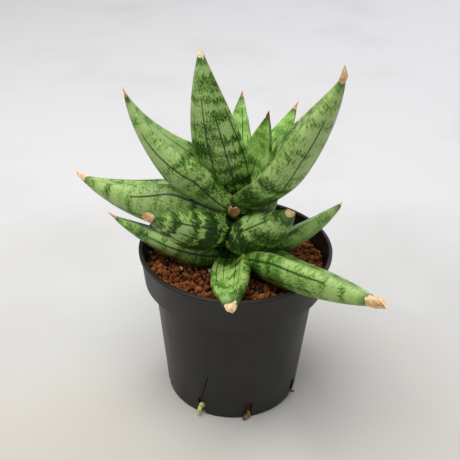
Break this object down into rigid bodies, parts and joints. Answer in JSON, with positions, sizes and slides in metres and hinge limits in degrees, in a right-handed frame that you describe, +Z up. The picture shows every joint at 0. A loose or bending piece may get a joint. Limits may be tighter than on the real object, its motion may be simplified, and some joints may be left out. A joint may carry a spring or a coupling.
{
  "type": "potted snake plant",
  "caption": "Short snake plant with fat boat-shaped mottled leaves in a round tapered nursery pot with a collar, filled with fired-clay granules.",
  "frame": {"origin": "middle of the pot's base, on the surface it stands on", "axes": "+Z up, -Y towards the front of the plant, +X to its right"},
  "size_m": [0.1606, 0.1274, 0.2142],
  "materials": {
    "pot_plastic": "moulded, faint satin sheen",
    "clay_granules": "rough, low-fired, porous",
    "leaf_skin": "waxy satin plant skin, mottled",
    "root_skin": "matte, woody",
    "runner_skin": "satin plant skin",
    "dry_sheath": "papery, dry"
  },
  "bodies": {
    "root": {"pot": "pot_plastic", "substrate": "clay_granules", "leaf_small_centre": "leaf_skin", "leaf_small_back": "leaf_skin", "leaf_small_right": "leaf_skin", "leaf_tall_back": "leaf_skin", "leaf_upper_right": "leaf_skin", "leaf_upper_left": "leaf_skin", "leaf_side_left": "leaf_skin", "leaf_plump_right": "leaf_skin", "leaf_plump_left": "leaf_skin", "leaf_back_right": "leaf_skin", "leaf_back_left": "leaf_skin", "leaf_low_right": "leaf_skin", "leaf_long_right": "leaf_skin", "leaf_low_left": "leaf_skin", "leaf_front": "leaf_skin", "rootstock": "leaf_skin", "runner": "runner_skin", "root_front_right": "root_skin", "root_right": "root_skin", "root_back": "root_skin", "root_left": "root_skin", "scale_crown": "dry_sheath", "scale_back": "dry_sheath"}
  },
  "joints": []
}
